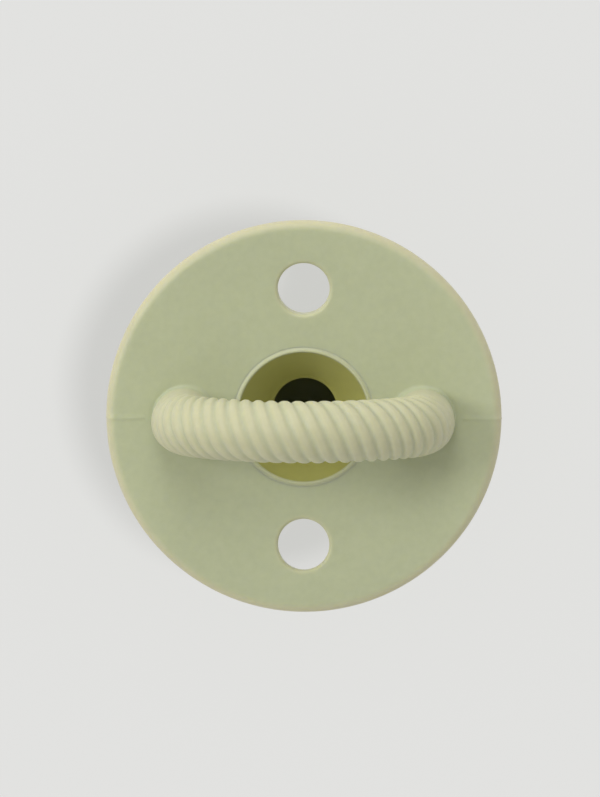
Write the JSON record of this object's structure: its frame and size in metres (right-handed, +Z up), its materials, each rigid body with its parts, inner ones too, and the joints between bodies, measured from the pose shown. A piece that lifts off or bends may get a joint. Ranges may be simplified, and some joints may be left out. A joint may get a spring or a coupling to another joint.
{
  "type": "pacifier",
  "caption": "Soft one-piece pacifier with a round dished shield, vent holes, a twisted-rope arch handle and a hollow round nipple.",
  "frame": {"origin": "the tip of the nipple, on the shield's axis", "axes": "+Z up the axis from the nipple through the shield to the handle, X along the handle, Y through the two vent holes"},
  "size_m": [0.0462, 0.046, 0.0444],
  "materials": {
    "silicone": "satin sage-green silicone, slightly translucent at thin edges"
  },
  "bodies": {
    "shield": {"shield": "silicone", "nipple_collar": "silicone", "handle_foot_left": "silicone", "handle_foot_right": "silicone"},
    "handle": {"handle_rope": "silicone"},
    "neck": {"nipple_neck": "silicone"},
    "bulb": {"nipple_bulb": "silicone"}
  },
  "joints": [
    {"name": "handle_tip", "type": "hinge", "parent": "shield", "child": "handle", "pos_m": [0, 0, 0.0316], "axis": [1, 0, 0], "range_deg": [-35, 35], "stiffness_Nm_per_rad": 0.05, "deforming": ["handle_foot_left", "handle_foot_right"]},
    {"name": "neck_nod", "type": "hinge", "parent": "shield", "child": "neck", "pos_m": [0, 0, 0.02025], "axis": [1, 0, 0], "range_deg": [-20, 20], "stiffness_Nm_per_rad": 0.09, "deforming": ["nipple_neck"]},
    {"name": "neck_sway", "type": "hinge", "parent": "neck", "child": "bulb", "pos_m": [0, 0, 0.01675], "axis": [0, 1, 0], "range_deg": [-20, 20], "stiffness_Nm_per_rad": 0.09, "deforming": ["nipple_neck"]}
  ]
}
